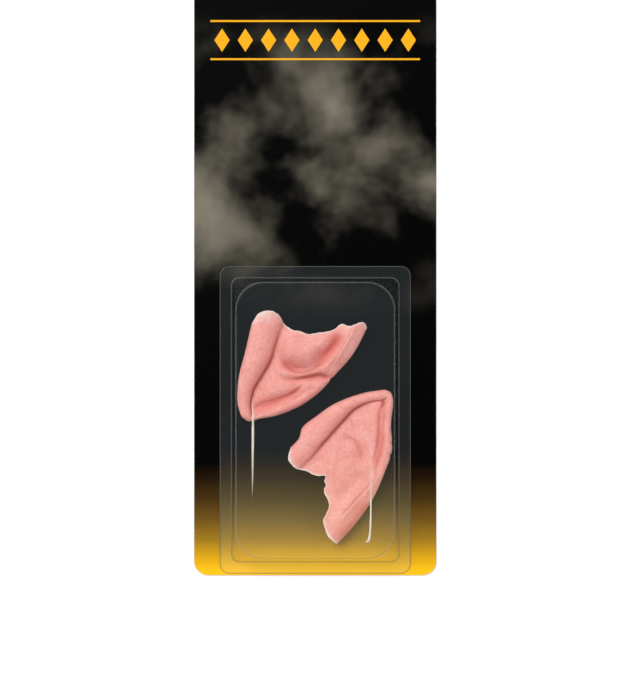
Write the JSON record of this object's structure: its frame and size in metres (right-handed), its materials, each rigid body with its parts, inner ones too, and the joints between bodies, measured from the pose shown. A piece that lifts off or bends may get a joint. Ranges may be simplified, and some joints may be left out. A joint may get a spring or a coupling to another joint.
{
  "type": "pair of elf ear tips in a clear blister on a plain backing card",
  "caption": "Right and left hollow latex elf ear tips lying in a clear thermoformed blister on a plain black and amber backing card.",
  "frame": {"origin": "middle of the card's back, on the surface that the pack lies on", "axes": "+X across the card, +Y up the card towards its head, +Z out of the card's face towards the blister"},
  "size_m": [0.1144, 0.2794, 0.0214],
  "materials": {
    "latex": "matt cast latex, soft pink",
    "clear_film": "clear thermoformed film, glossy",
    "printed_board": "coated board, black running to amber at the foot"
  },
  "bodies": {
    "root": {"backing_card": "printed_board", "blister": "clear_film", "right_ear_tip": "latex", "left_ear_tip": "latex"}
  },
  "joints": []
}
